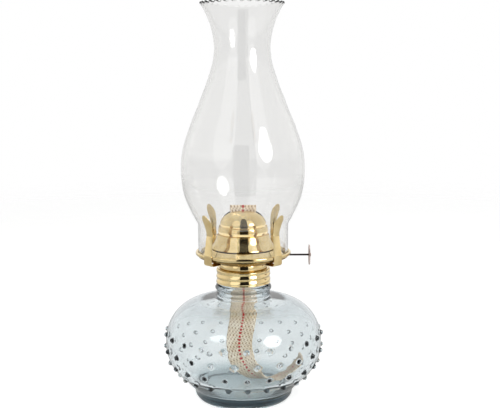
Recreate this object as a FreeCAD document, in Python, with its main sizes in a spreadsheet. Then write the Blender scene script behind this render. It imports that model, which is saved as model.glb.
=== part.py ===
import FreeCAD, Part
import os
import re
import Sketcher
from FreeCAD import Placement, Rotation, Vector

# Glass table oil lamp with a flat wick burner, in millimetres, standing on the plane z = 0
# The lamp's axis is the Z axis, the front of the lamp looks along -Y and the wick knob is on +X

# Driving dimensions, each set once
SIZES = {
    # Reservoir, a blown glass font on a ring foot
    "foot_radius": 41.5,
    "foot_flare": 1.0,
    "foot_height": 8.0,
    "foot_edge": 1.4,
    "foot_ring": 6.0,
    "foot_hollow": 3.0,
    "knee_radius": 53.5,
    "knee_level": 20.0,
    "bowl_radius": 66.7,
    "bowl_level": 47.0,
    "bowl_band": 4.0,
    "bowl_rise": 34.9,
    "shoulder_radius": 34.0,
    "glass_wall": 4.2,
    "bowl_floor": 5.6,
    "floor_dish": 1.0,
    # Neck of the reservoir
    "neck_rise": 1.0,
    "neck_radius": 22.0,
    "neck_ring": 1.0,
    "neck_bead": 2.0,
    "neck_height": 21.1,
    "finish_radius": 20.9,
    "finish_height": 9.7,
    "neck_bore": 17.4,
    # Hobs of glass on the bowl, four rows round
    "hob_count": 22,
    "hob_radius": 2.9,
    "hob_tip_radius": 1.5,
    "hob_height": 2.6,
    "hob_root": 1.6,
    "top_hob_angle": 10.0,
    "top_hob_turn": -87.4,
    "upper_hob_angle": -4.0,
    "upper_hob_turn": -96.3,
    "lower_hob_angle": -25.6,
    "lower_hob_turn": -86.9,
    "foot_hob_share": 0.38,
    "foot_hob_turn": -86.2,
    # Sheet brass and the screw collar
    "sheet": 0.7,
    "thread_pitch": 3.8,
    "thread_depth": 0.8,
    "thread_play": 0.7,
    "collar_height": 11.7,
    "shoulder_rise": 2.0,
    "recess_radius": 20.2,
    "collar_bore": 13.5,
    "gasket_gap": 0.1,
    "gasket_thickness": 1.3,
    # Burner cup, air screen and gallery
    "cup_foot_radius": 18.6,
    "cup_top_radius": 20.2,
    "cup_height": 9.6,
    "cup_flange": 3.6,
    "screen_rise": 3.8,
    "screen_flat": 31.0,
    "screen_radius": 38.0,
    "screen_flange": 2.6,
    "air_hole_radius": 1.8,
    "air_hole_count": 10,
    "inner_hole_ring": 24.6,
    "outer_hole_ring": 28.8,
    "rim_width": 1.7,
    "rim_height": 3.6,
    "seat_width": 3.2,
    "deck_rise": 5.6,
    "deck_opening": 24.4,
    # Dome over the flame, with its slot
    "dome_lip_radius": 26.0,
    "dome_lip_rise": 0.6,
    "dome_foot_radius": 24.6,
    "dome_foot_rise": 2.8,
    "dome_waist_radius": 20.3,
    "dome_waist_rise": 12.5,
    "dome_rib": 0.6,
    "dome_shoulder_radius": 19.3,
    "dome_shoulder_rise": 20.0,
    "dome_brow_radius": 14.0,
    "dome_brow_rise": 26.9,
    "dome_crown_rise": 29.9,
    "dome_slot_length": 31.0,
    "dome_slot_width": 8.6,
    # Four spring prongs on one ring
    "prong_count": 4,
    "prong_ring_inner": 20.6,
    "prong_ring_outer": 22.6,
    "prong_sheet": 0.6,
    "prong_width": 8.0,
    "prong_turn": 45.0,
    "prong_head": 3.9,
    "prong_point": 0.1,
    "prong_gap": 0.3,
    "prong_bend_radius": 2.4,
    "prong_grip_rise": 22.0,
    "prong_tip_rise": 38.0,
    "prong_tip_flare": 6.6,
    # Flat wick and its tube
    "wick_width": 22.2,
    "wick_thickness": 1.8,
    "wick_side_play": 0.4,
    "wick_face_play": 0.6,
    "tube_wall": 0.5,
    "tube_top_rise": 33.0,
    "tube_drop": 6.5,
    "wick_show": 9.2,
    "wick_split": 100.0,
    "vent_radius": 1.5,
    "vent_height": 5.0,
    # Wick raiser
    "shaft_radius": 0.8,
    "shaft_rise": -1.9,
    "running_gap": 0.1,
    "sprocket_radius": 4.6,
    "sprocket_width": 1.2,
    "sprocket_spacing": 11.0,
    "sprocket_teeth": 10,
    "tooth_depth": 0.9,
    "ear_thickness": 0.8,
    "ear_spacing": 17.0,
    "ear_width": 4.4,
    "bearing_gap": 0.05,
    "sleeve_inner": 25.0,
    "sleeve_length": 8.2,
    "sleeve_wall": 0.7,
    "knob_distance": 56.1,
    "knob_radius": 8.65,
    "knob_thickness": 1.0,
    "knob_notches": 24,
    "notch_depth": 0.4,
    "rivet_radius": 1.5,
    "rivet_length": 1.0,
    # Glass chimney
    "seat_gap": 0.1,
    "fitter_radius": 38.1,
    "fitter_height": 26.5,
    "chimney_wall": 2.0,
    "chest_radius": 43.6,
    "chest_rise": 10.5,
    "belly_radius": 52.1,
    "belly_rise": 69.5,
    "taper_start_radius": 45.3,
    "taper_start_rise": 105.8,
    "taper_end_radius": 29.0,
    "taper_end_rise": 147.5,
    "waist_radius": 23.4,
    "waist_rise": 173.5,
    "rim_radius": 35.2,
    "chimney_height": 210.0,
}

document = FreeCAD.newDocument("OilLamp")
sheet = document.addObject("Spreadsheet::Sheet", "Sizes")
for row, (size_name, size_value) in enumerate(SIZES.items(), start=1):
    sheet.set(f"A{row}", size_name)
    sheet.set(f"B{row}", str(size_value))
    sheet.setAlias(f"B{row}", size_name)
document.recompute()

size_words = re.compile(r"\b(" + "|".join(SIZES) + r")\b(?!\()")


def bound(formula):
    """Write a formula of size names as one that reads the sheet."""
    return size_words.sub(r"Sizes.\1", str(formula))


def number(formula):
    """The present value of a formula of size names."""
    return float(sheet.evalExpression(bound(formula)))


# Levels up the lamp, each resting on the one below
band_top = "(bowl_level + bowl_band)"
shoulder_level = f"({band_top} + bowl_rise)"
neck_root = f"({shoulder_level} + neck_rise)"
neck_top = f"({neck_root} + neck_height)"
plate_under = f"({neck_top} + gasket_gap + gasket_thickness)"
plate_top = f"({plate_under} + sheet)"
collar_top = f"({plate_top} + shoulder_rise)"
collar_bottom = f"({collar_top} - collar_height)"
cup_top = f"({plate_top} + cup_height)"
screen_top = f"({cup_top} + screen_rise)"
ledge = f"({screen_top} + sheet)"
deck_top = f"({ledge} + deck_rise)"
chimney_foot = f"({ledge} + seat_gap)"
wick_top_level = f"({ledge} + tube_top_rise + wick_show)"
shaft_level = f"({ledge} + shaft_rise)"
shaft_offset = "(wick_thickness / 2 + running_gap + sprocket_radius)"
tube_half_depth = "(wick_thickness / 2 + wick_face_play)"
tube_half_width = "(wick_width / 2 + wick_side_play)"


def origin_part(body, role):
    """One of a body's own base planes or axes, found by its role."""
    return next(item for item in body.Origin.OriginFeatures if item.Role == role)


def new_body(name):
    body = document.addObject("PartDesign::Body", name)
    body.Label = name
    return body


def new_sketch(body, name, plane):
    sketch = body.newObject("Sketcher::SketchObject", name)
    sketch.AttachmentSupport = [(origin_part(body, plane), "")]
    sketch.MapMode = "FlatFace"
    return sketch


def hold(sketch, kind, geometry, point, formula):
    """Tie one coordinate of a sketch point to a formula of sizes."""
    index = sketch.addConstraint(Sketcher.Constraint(kind, -1, 1, geometry, point, number(formula)))
    sketch.setExpression(f"Constraints[{index}]", bound(formula))


def arc_through(start, end, centre_height):
    """The arc between two points whose centre lies at a given height."""
    x0, y0 = start
    x1, y1 = end
    centre = (x1 ** 2 - x0 ** 2 + (y1 - centre_height) ** 2 - (y0 - centre_height) ** 2) / (2 * (x1 - x0))
    middle = Vector((x0 + x1) / 2 - centre, (y0 + y1) / 2 - centre_height, 0)
    reach = ((x0 - centre) ** 2 + (y0 - centre_height) ** 2) ** 0.5
    middle = Vector(centre, centre_height, 0) + middle.normalize() * reach
    return Part.Arc(Vector(x0, y0, 0), middle, Vector(x1, y1, 0))


def closed_outline(sketch, steps):
    """Draw a closed outline; each step is (x, y), or (x, y, height of the arc's centre)."""
    points = [(number(step[0]), number(step[1])) for step in steps]
    joints = []
    for index, step in enumerate(steps):
        start = points[index - 1]
        end = points[index]
        if len(step) == 3:
            geometry = sketch.addGeometry(arc_through(start, end, number(step[2])))
            first_is_start = sketch.getPoint(geometry, 1).distanceToPoint(Vector(*start, 0)) < 1e-6
            joints.append((geometry, 1, 2) if first_is_start else (geometry, 2, 1))
        else:
            geometry = sketch.addGeometry(Part.LineSegment(Vector(*start, 0), Vector(*end, 0)))
            joints.append((geometry, 1, 2))
    for index, step in enumerate(steps):
        geometry, _, last_point = joints[index]
        following, first_point, _ = joints[(index + 1) % len(joints)]
        sketch.addConstraint(
            Sketcher.Constraint("Coincident", geometry, last_point, following, first_point))
        hold(sketch, "DistanceX", geometry, last_point, step[0])
        hold(sketch, "DistanceY", geometry, last_point, step[1])
        if len(step) == 3:
            hold(sketch, "DistanceY", geometry, 3, step[2])


def arc_centre(start_radius, end_radius, end_rise):
    """Radius at which an arc is centred that starts level with its centre."""
    squares = f"(({end_radius})^2 - ({start_radius})^2 + ({end_rise})^2)"
    return f"({squares} / (2 * (({end_radius}) - ({start_radius}))))"


def on_arc(centre, radius, level, angle):
    """A point on a round stretch of an outline, at an angle up from its widest level."""
    reach = f"({radius} - {centre})"
    return (f"({centre} + {reach} * cos({angle}))", f"({level} + {reach} * sin({angle}))")


def revolve(body, name, steps):
    """Turn a closed outline in the X-Z plane about the lamp's axis."""
    sketch = new_sketch(body, name + "_outline", "XZ_Plane")
    closed_outline(sketch, steps)
    turned = body.newObject("PartDesign::Revolution", name)
    turned.Profile = sketch
    turned.ReferenceAxis = (sketch, ["V_Axis"])
    turned.Angle = 360
    body.Tip = turned
    return turned


def repeat_round(body, name, originals, count, axis="Z_Axis"):
    pattern = body.newObject("PartDesign::PolarPattern", name)
    pattern.Originals = originals
    pattern.Axis = (origin_part(body, axis), [""])
    pattern.Angle = 360
    pattern.Occurrences = int(number(count))
    pattern.setExpression("Occurrences", bound(count))
    body.Tip = pattern
    return pattern


def pad(body, name, sketch, length, both_ways=False):
    feature = body.newObject("PartDesign::Pad", name)
    feature.Profile = sketch
    feature.Length = number(length)
    feature.setExpression("Length", bound(length))
    feature.Midplane = both_ways
    body.Tip = feature
    return feature


def cut(body, name, sketch, length, reverse=False, both_ways=False):
    feature = body.newObject("PartDesign::Pocket", name)
    feature.Profile = sketch
    feature.Length = number(length)
    feature.setExpression("Length", bound(length))
    feature.Reversed = reverse
    feature.Midplane = both_ways
    body.Tip = feature
    return feature


def raise_sketch(sketch, height):
    """Lift a sketch off its plane by a formula of sizes."""
    sketch.AttachmentOffset = Placement(Vector(0, 0, number(height)), Rotation())
    sketch.setExpression("AttachmentOffset.Base.z", bound(height))


def circle(sketch, x, y, radius):
    centre = Vector(number(x), number(y), 0)
    geometry = sketch.addGeometry(Part.Circle(centre, Vector(0, 0, 1), number(radius)))
    hold(sketch, "DistanceX", geometry, 3, x)
    hold(sketch, "DistanceY", geometry, 3, y)
    index = sketch.addConstraint(Sketcher.Constraint("Radius", geometry, number(radius)))
    sketch.setExpression(f"Constraints[{index}]", bound(radius))


def rectangle(sketch, x0, y0, x1, y1):
    closed_outline(sketch, [(x0, y0), (x1, y0), (x1, y1), (x0, y1)])


def place(thing, x="0", y="0", z="0", rotation=Rotation()):
    thing.Placement = Placement(Vector(number(x), number(y), number(z)), rotation)
    for axis, formula in (("x", x), ("y", y), ("z", z)):
        thing.setExpression(f"Placement.Base.{axis}", bound(formula))


along_x = Rotation(Vector(0, 1, 0), 90)

# Reservoir: a squat bowl on a ring foot, with a ringed neck
lower_centre = arc_centre("bowl_radius", "knee_radius", "(bowl_level - knee_level)")
upper_centre = arc_centre("bowl_radius", "shoulder_radius", "bowl_rise")


# The bowl's round stretches are turned as short straight runs along their arcs
lower_sweep = f"asin((bowl_level - knee_level) / (bowl_radius - {lower_centre}))"
upper_sweep = f"asin(bowl_rise / (bowl_radius - {upper_centre}))"
LOWER_RUNS = 5
UPPER_RUNS = 8

# The neck's rings as steps up from its root: the share of its height, and the swell there
NECK_STEPS = 12
NECK_RINGS = (
    (1.5, "neck_ring"), (3, "0"), (4.5, "1.4 * neck_ring"), (7, "0"),
    (8.5, "neck_bead"), (10.5, "neck_bead"), (12, "neck_ring"),
)


def make_reservoir():
    body = new_body("reservoir")
    finish_root = f"({neck_top} - finish_height)"
    ring_pitch = f"(({finish_root} - {neck_root}) / {NECK_STEPS})"
    neck = [("neck_radius", neck_root)]
    for step, swell in NECK_RINGS:
        neck.append((f"neck_radius + {swell}", f"{neck_root} + {step} * {ring_pitch}"))
    outside = [
        ("foot_radius - foot_ring", "0"),
        ("foot_radius - foot_edge", "0"),
        ("foot_radius", "foot_edge"),
        ("foot_radius + foot_flare", "foot_height"),
    ]
    inner_radius = "(bowl_radius - glass_wall)"
    inside = []
    for run in range(LOWER_RUNS, -1, -1):
        angle = f"(-{lower_sweep} * {run / LOWER_RUNS})"
        outside.append(on_arc(lower_centre, "bowl_radius", "bowl_level", angle))
    for run in range(UPPER_RUNS + 1):
        angle = f"({upper_sweep} * {run / UPPER_RUNS})"
        outside.append(on_arc(upper_centre, "bowl_radius", band_top, angle))
    for run in range(UPPER_RUNS - 1, -1, -2):
        angle = f"({upper_sweep} * {run / UPPER_RUNS})"
        inside.append(on_arc(upper_centre, inner_radius, band_top, angle))
    for run in range(LOWER_RUNS):
        angle = f"(-{lower_sweep} * {run / LOWER_RUNS})"
        inside.append(on_arc(lower_centre, inner_radius, "bowl_level", angle))
    finish = [
        ("finish_radius", finish_root),
        ("finish_radius", neck_top),
        ("neck_bore", neck_top),
        ("neck_bore", f"{neck_root} - glass_wall / 2"),
    ]
    inside += [
        ("foot_radius - foot_ring", "foot_hollow + bowl_floor + floor_dish"),
        ("0", "foot_hollow + bowl_floor"),
        ("0", "foot_hollow"),
        ("foot_radius - foot_ring - foot_hollow", "foot_hollow"),
    ]
    revolve(body, "bowl", outside + neck + finish + inside)
    return body


# Hobs: short six-sided tapered studs standing square to the glass, in rows round the bowl
HOB_SIDES = 6


def add_hob_row(body, name, radius, level, tilt, turn):
    sketch = body.newObject("Sketcher::SketchObject", name + "_outline")
    lean = Rotation(Vector(0, 0, 1), number(turn)).multiply(Rotation(Vector(0, 1, 0), 90 - number(tilt)))
    root_radius = f"({radius} - hob_root * cos({tilt}))"
    root_level = f"({level} - hob_root * sin({tilt}))"
    place(sketch, f"{root_radius} * cos({turn})", f"{root_radius} * sin({turn})", root_level, lean)
    closed_outline(sketch, [
        (f"hob_radius * cos({corner * 360 / HOB_SIDES})", f"hob_radius * sin({corner * 360 / HOB_SIDES})")
        for corner in range(HOB_SIDES)])
    stud = pad(body, name + "_stud", sketch, "hob_root + hob_height")
    taper = "-atan((hob_radius - hob_tip_radius) / (hob_root + hob_height))"
    stud.TaperAngle = number(taper)
    stud.setExpression("TaperAngle", bound(taper))
    document.recompute()
    repeat_round(body, name, [stud], "hob_count")


def add_hobs(body):
    for name, centre, level, angle, turn in (
            ("top_hobs", upper_centre, band_top, "top_hob_angle", "top_hob_turn"),
            ("upper_hobs", lower_centre, "bowl_level", "upper_hob_angle", "upper_hob_turn"),
            ("lower_hobs", lower_centre, "bowl_level", "lower_hob_angle", "lower_hob_turn")):
        radius, height = on_arc(centre, "bowl_radius", level, angle)
        add_hob_row(body, name, radius, height, angle, turn)
    foot_run = "(knee_radius - foot_radius - foot_flare)"
    foot_climb = "(knee_level - foot_height)"
    add_hob_row(body, "foot_hobs",
                f"(foot_radius + foot_flare + {foot_run} * (1 - foot_hob_share))",
                f"(foot_height + {foot_climb} * (1 - foot_hob_share))",
                f"(-atan({foot_run} / {foot_climb}))", "foot_hob_turn")


# Screw collar: one rolled sheet, with thread ridges, a rounded shoulder and a sunk floor plate
def make_collar():
    body = new_body("collar")
    ridge = "(finish_radius + thread_play + thread_depth + sheet)"
    groove = f"({ridge} - thread_depth)"
    crest = f"({collar_bottom} + thread_pitch / 4)"
    outside = [(f"{groove} - sheet", collar_bottom), (ridge, collar_bottom)]
    for turn in (0, 1):
        outside.append((ridge, f"{crest} + {turn} * thread_pitch"))
        outside.append((groove, f"{crest} + {turn + 0.5} * thread_pitch"))
    top = [
        (groove, f"{collar_top} - shoulder_rise"),
        (f"{groove} - 1.2 * sheet", collar_top),
        ("recess_radius + sheet / 2", collar_top),
        ("recess_radius", f"{collar_top} - sheet / 2"),
        ("recess_radius", plate_top),
        ("collar_bore", plate_top),
        ("collar_bore", plate_under),
        ("recess_radius + sheet", plate_under),
        ("recess_radius + sheet", f"{collar_top} - sheet"),
        (f"{groove} - 1.6 * sheet", f"{collar_top} - sheet"),
        (f"{groove} - sheet", f"{collar_top} - shoulder_rise"),
    ]
    revolve(body, "collar_shell", outside + top)
    return body


def make_gasket():
    body = new_body("neck_gasket")
    foot = f"({neck_top} + gasket_gap / 2)"
    head = f"({plate_under} - gasket_gap / 2)"
    revolve(body, "gasket_ring", [
        ("neck_bore", foot), ("finish_radius", foot), ("finish_radius", head), ("neck_bore", head)])
    return body


# Burner cup: a flared wall with a turned-in foot, closed by a floor plate that carries the wick tube
def make_cup():
    body = new_body("burner_cup")
    revolve(body, "cup_wall", [
        ("cup_foot_radius - cup_flange", plate_top),
        ("cup_foot_radius", plate_top),
        ("cup_top_radius", cup_top),
        ("cup_top_radius - sheet", cup_top),
        ("cup_foot_radius - sheet", f"{plate_top} + sheet"),
        ("cup_foot_radius - cup_flange", f"{plate_top} + sheet"),
    ])
    return body


def make_cup_floor():
    body = new_body("cup_floor")
    floor_level = f"({plate_top} + sheet)"
    plate_radius = "(cup_foot_radius - sheet - running_gap)"
    disc = new_sketch(body, "floor_outline", "XY_Plane")
    raise_sketch(disc, floor_level)
    circle(disc, "0", "0", plate_radius)
    rectangle(disc, f"-{tube_half_width} - tube_wall", f"-{tube_half_depth} - tube_wall",
              f"{tube_half_width} + tube_wall", f"{tube_half_depth} + tube_wall")
    circle(disc, "0", "cup_foot_radius / 2", "vent_radius")
    pad(body, "floor_plate", disc, "sheet")
    return body


def make_vent():
    body = new_body("vent_tube")
    wall = new_sketch(body, "vent_outline", "XY_Plane")
    raise_sketch(wall, f"{plate_top} + sheet")
    circle(wall, "0", "cup_foot_radius / 2", "vent_radius")
    circle(wall, "0", "cup_foot_radius / 2", "vent_radius - tube_wall")
    pad(body, "vent_wall", wall, "vent_height")
    return body


# Wick tube: a flat sleeve round the wick, slotted at the back for the two sprockets
def make_wick_tube():
    body = new_body("wick_tube")
    wall = new_sketch(body, "tube_outline", "XY_Plane")
    raise_sketch(wall, f"{plate_top} - tube_drop")
    for extra in (" + tube_wall", ""):
        rectangle(wall, f"-({tube_half_width}{extra})", f"-({tube_half_depth}{extra})",
                  f"{tube_half_width}{extra}", f"{tube_half_depth}{extra}")
    pad(body, "tube_wall_pad", wall, f"{ledge} + tube_top_rise - {plate_top} + tube_drop")
    slots = new_sketch(body, "sprocket_slots", "XZ_Plane")
    for side in (-1, 1):
        middle = f"({side} * sprocket_spacing / 2)"
        reach = "(sprocket_width / 2 + 2 * running_gap)"
        rectangle(slots, f"{middle} - {reach}", f"{shaft_level} - sprocket_radius",
                  f"{middle} + {reach}", f"{shaft_level} + sprocket_radius")
    cut(body, "slot_cut", slots, f"{tube_half_depth} + 2 * tube_wall")
    return body


# Air screen: a pierced plate from the cup's rim, turned up at its edge to meet the gallery
def make_air_screen():
    body = new_body("air_screen")
    revolve(body, "screen_cone", [
        ("cup_top_radius - sheet", cup_top),
        ("screen_flat", cup_top),
        ("screen_radius - screen_flange", f"{screen_top} - sheet"),
        ("screen_radius", f"{screen_top} - sheet"),
        ("screen_radius", screen_top),
        ("screen_radius - screen_flange", screen_top),
        ("screen_flat", f"{cup_top} + sheet"),
        ("cup_top_radius - sheet", f"{cup_top} + sheet"),
    ])
    holes = new_sketch(body, "air_hole_outline", "XY_Plane")
    circle(holes, "inner_hole_ring", "0", "air_hole_radius")
    first = cut(body, "inner_air_hole", holes, ledge, reverse=True)
    document.recompute()
    repeat_round(body, "inner_air_holes", [first], "air_hole_count")
    holes = new_sketch(body, "outer_air_hole_outline", "XY_Plane")
    holes.AttachmentOffset = Placement(Vector(), Rotation(Vector(0, 0, 1), number("180 / air_hole_count")))
    holes.setExpression("AttachmentOffset.Rotation.Angle", bound("180 / air_hole_count"))
    circle(holes, "outer_hole_ring", "0", "air_hole_radius")
    second = cut(body, "outer_air_hole", holes, ledge, reverse=True)
    document.recompute()
    repeat_round(body, "outer_air_holes", [second], "air_hole_count")
    sleeve_path = new_sketch(body, "sleeve_hole_outline", "YZ_Plane")
    circle(sleeve_path, shaft_offset, shaft_level, "shaft_radius + bearing_gap + sleeve_wall + running_gap")
    cut(body, "sleeve_hole", sleeve_path, "screen_radius", reverse=True)
    return body


# Gallery: rolled rim, flat seat for the chimney and a sloping deck up to the dome
def make_gallery():
    body = new_body("gallery")
    seat_inner = "(fitter_radius - seat_width)"
    rim_inner = "(fitter_radius + prong_gap)"
    rim_outer = f"({rim_inner} + rim_width)"
    revolve(body, "gallery_shell", [
        ("deck_opening", f"{deck_top} - sheet"),
        ("dome_lip_radius", f"{deck_top} - sheet"),
        (seat_inner, screen_top),
        (rim_outer, screen_top),
        (rim_outer, f"{screen_top} + rim_height"),
        (rim_inner, f"{screen_top} + rim_height"),
        (rim_inner, ledge),
        (f"{seat_inner} + sheet / 4", ledge),
        ("dome_lip_radius + sheet / 4", deck_top),
        ("deck_opening", deck_top),
    ])
    return body


# Dome: spun brass with two raised ribs, slotted along the wick
def make_dome():
    body = new_body("burner_dome")
    brow_climb = "(dome_brow_rise - dome_shoulder_rise)"
    brow_centre = arc_centre("dome_shoulder_radius", "dome_brow_radius", brow_climb)
    brow_sweep = f"acos((dome_brow_radius - {brow_centre}) / (dome_shoulder_radius - {brow_centre}))"

    def brow(share):
        return on_arc(brow_centre, "dome_shoulder_radius", f"({deck_top} + dome_shoulder_rise)",
                      f"({brow_sweep} * {share})")

    outside = [
        ("dome_lip_radius", deck_top),
        ("dome_lip_radius", f"{deck_top} + dome_lip_rise"),
        ("dome_foot_radius", f"{deck_top} + dome_foot_rise"),
        ("dome_waist_radius + dome_rib", f"{deck_top} + dome_waist_rise - dome_rib"),
        ("dome_waist_radius", f"{deck_top} + dome_waist_rise + dome_rib"),
        ("dome_shoulder_radius + dome_rib", f"{deck_top} + dome_shoulder_rise - dome_rib"),
        ("dome_shoulder_radius", f"{deck_top} + dome_shoulder_rise"),
        brow("0.5"),
        ("dome_brow_radius", f"{deck_top} + dome_brow_rise"),
        ("0", f"{deck_top} + dome_crown_rise"),
    ]
    inside = [
        ("0", f"{deck_top} + dome_crown_rise - sheet"),
        ("dome_brow_radius - sheet / 2", f"{deck_top} + dome_brow_rise - sheet"),
        ("dome_shoulder_radius - sheet", f"{deck_top} + dome_shoulder_rise + sheet"),
        ("dome_waist_radius - sheet", f"{deck_top} + dome_waist_rise"),
        ("dome_foot_radius - sheet", f"{deck_top} + dome_foot_rise"),
        ("dome_foot_radius - sheet", deck_top),
    ]
    revolve(body, "dome_shell", outside + inside)
    slot = new_sketch(body, "dome_slot_outline", "XY_Plane")
    raise_sketch(slot, f"{deck_top} + dome_shoulder_rise")
    rectangle(slot, "-dome_slot_length / 2", "-dome_slot_width / 2",
              "dome_slot_length / 2", "dome_slot_width / 2")
    cut(body, "dome_slot", slot, "dome_crown_rise", reverse=True)
    return body


# Prong ring: one stamping, a cone ring under the air screen and four leaf springs
# that bend round the gallery's rim, lean in to grip the glass and flare to a point
def make_prong_ring():
    body = new_body("prong_ring")
    ring_foot = f"({cup_top} - prong_sheet)"
    revolve(body, "ring_plate", [
        ("prong_ring_inner", ring_foot),
        ("prong_ring_outer", ring_foot),
        ("prong_ring_outer", cup_top),
        ("prong_ring_inner", cup_top),
    ])
    rim_outer = "(fitter_radius + prong_gap + rim_width)"
    inner_face = f"({rim_outer} + prong_gap)"
    grip = "(fitter_radius + prong_gap)"
    grip_level = f"({ledge} + prong_grip_rise)"
    tip_level = f"({ledge} + prong_tip_rise)"
    side = new_sketch(body, "prong_side", "XZ_Plane")

    def bend(radius, angle):
        return (f"({inner_face} - prong_bend_radius + ({radius}) * sin({angle}))",
                f"({cup_top} + prong_bend_radius - ({radius}) * cos({angle}))")

    turns = (0, 30, 60, 90)
    inner_bend = [bend("prong_bend_radius", angle) for angle in turns]
    outer_bend = [bend("prong_bend_radius + prong_sheet", angle) for angle in reversed(turns)]
    closed_outline(side, [("prong_ring_outer - prong_sheet", cup_top)] + inner_bend + [
        (inner_face, f"{screen_top} + rim_height"),
        (grip, grip_level),
        (f"{grip} + prong_tip_flare", tip_level),
        (f"{grip} + prong_tip_flare + prong_sheet", tip_level),
        (f"{grip} + prong_sheet", f"{grip_level} - prong_sheet / 4"),
        (f"{inner_face} + prong_sheet", f"{screen_top} + rim_height"),
    ] + outer_bend + [("prong_ring_outer - prong_sheet", ring_foot)])
    spring = pad(body, "prong_strip", side, "prong_width", both_ways=True)
    face = new_sketch(body, "prong_taper", "YZ_Plane")
    for hand in (-1, 1):
        closed_outline(face, [
            (f"{hand} * prong_width / 2", f"{ledge} + rim_height"),
            (f"{hand} * prong_width", f"{ledge} + rim_height"),
            (f"{hand} * prong_width", f"{tip_level} + prong_width"),
            (f"{hand} * prong_point / 2", f"{tip_level} + prong_width"),
            (f"{hand} * prong_point / 2", f"{tip_level} + prong_sheet"),
            (f"{hand} * prong_head", f"{tip_level} - 0.8 * prong_width"),
            (f"{hand} * prong_width / 3", grip_level),
        ])
    taper = cut(body, "prong_leaf", face, f"{inner_face} + prong_width", reverse=True)
    document.recompute()
    repeat_round(body, "prongs", [spring, taper], "prong_count")
    body.Placement = Placement(Vector(), Rotation(Vector(0, 0, 1), number("prong_turn")))
    body.setExpression("Placement.Rotation.Angle", bound("prong_turn"))
    return body


# Wick raiser: a shaft with two toothed wheels behind the wick and a thumbwheel outside
def make_toothed_wheel(name, radius, width, tooth_count, notch, bore):
    body = new_body(name)
    disc = new_sketch(body, name + "_outline", "XY_Plane")
    circle(disc, "0", "0", radius)
    circle(disc, "0", "0", bore)
    pad(body, name + "_disc", disc, width)
    gap = new_sketch(body, name + "_gap_outline", "XY_Plane")
    closed_outline(gap, [(f"{radius} - {notch}", "0"), (f"{radius} + {notch}", f"-1.3 * {notch}"),
                         (f"{radius} + {notch}", f"1.3 * {notch}")])
    gap_cut = cut(body, name + "_gap", gap, width, reverse=True)
    document.recompute()
    repeat_round(body, name + "_gaps", [gap_cut], tooth_count)
    return body


def make_raiser():
    shaft = document.addObject("Part::Cylinder", "raiser_shaft")
    shaft.Label = "raiser_shaft"
    shaft.setExpression("Radius", bound("shaft_radius"))
    inner_end = "(ear_spacing / 2 + 2 * ear_thickness)"
    shaft.setExpression("Height", bound(f"knob_distance + knob_thickness + {inner_end}"))
    place(shaft, f"-{inner_end}", shaft_offset, shaft_level, along_x)
    pieces = [shaft]
    for side, hand in (("left", -1), ("right", 1)):
        sprocket = make_toothed_wheel("sprocket_" + side, "sprocket_radius", "sprocket_width",
                                      "sprocket_teeth", "tooth_depth", "shaft_radius")
        place(sprocket, f"{hand} * sprocket_spacing / 2 - sprocket_width / 2",
              shaft_offset, shaft_level, along_x)
        pieces.append(sprocket)
    knob = make_toothed_wheel("thumbwheel", "knob_radius", "knob_thickness",
                              "knob_notches", "notch_depth", "shaft_radius")
    place(knob, "knob_distance", shaft_offset, shaft_level, along_x)
    pieces.append(knob)
    rivet = document.addObject("Part::Cylinder", "thumbwheel_rivet")
    rivet.Label = "thumbwheel_rivet"
    rivet.setExpression("Radius", bound("rivet_radius"))
    rivet.setExpression("Height", bound("rivet_length"))
    place(rivet, "knob_distance + knob_thickness", shaft_offset, shaft_level, along_x)
    pieces.append(rivet)
    return pieces


# Bracket: two ears on a shelf behind the wick tube, with the shaft turning in their holes
def make_bracket():
    body = new_body("sprocket_bracket")
    tube_back = f"({tube_half_depth} + tube_wall)"
    shelf_foot = f"({shaft_level} - sprocket_radius - 3 * running_gap - ear_thickness)"
    outer = "(ear_spacing / 2 + ear_thickness)"
    reach = f"({shaft_offset} + ear_width / 2)"
    shelf = new_sketch(body, "shelf_outline", "XY_Plane")
    raise_sketch(shelf, shelf_foot)
    rectangle(shelf, f"-{outer}", tube_back, outer, reach)
    pad(body, "shelf", shelf, "ear_thickness")
    ears = new_sketch(body, "ear_outline", "XY_Plane")
    raise_sketch(ears, shelf_foot)
    for hand in (-1, 1):
        rectangle(ears, f"{hand} * ear_spacing / 2", tube_back, f"{hand} * {outer}", reach)
    pad(body, "ears", ears, f"{shaft_level} + ear_width / 2 - {shelf_foot}")
    bearing = new_sketch(body, "bearing_outline", "YZ_Plane")
    circle(bearing, shaft_offset, shaft_level, "shaft_radius + bearing_gap")
    cut(body, "bearing_holes", bearing, f"4 * {outer}", both_ways=True)
    return body


# Sleeve: the bush that carries the shaft through the air screen
def make_sleeve():
    body = new_body("shaft_sleeve")
    ring = new_sketch(body, "sleeve_outline", "XY_Plane")
    circle(ring, "0", "0", "shaft_radius + bearing_gap + sleeve_wall")
    circle(ring, "0", "0", "shaft_radius + bearing_gap")
    pad(body, "sleeve_wall_pad", ring, "sleeve_length")
    place(body, "sleeve_inner", shaft_offset, shaft_level, along_x)
    return body


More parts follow.
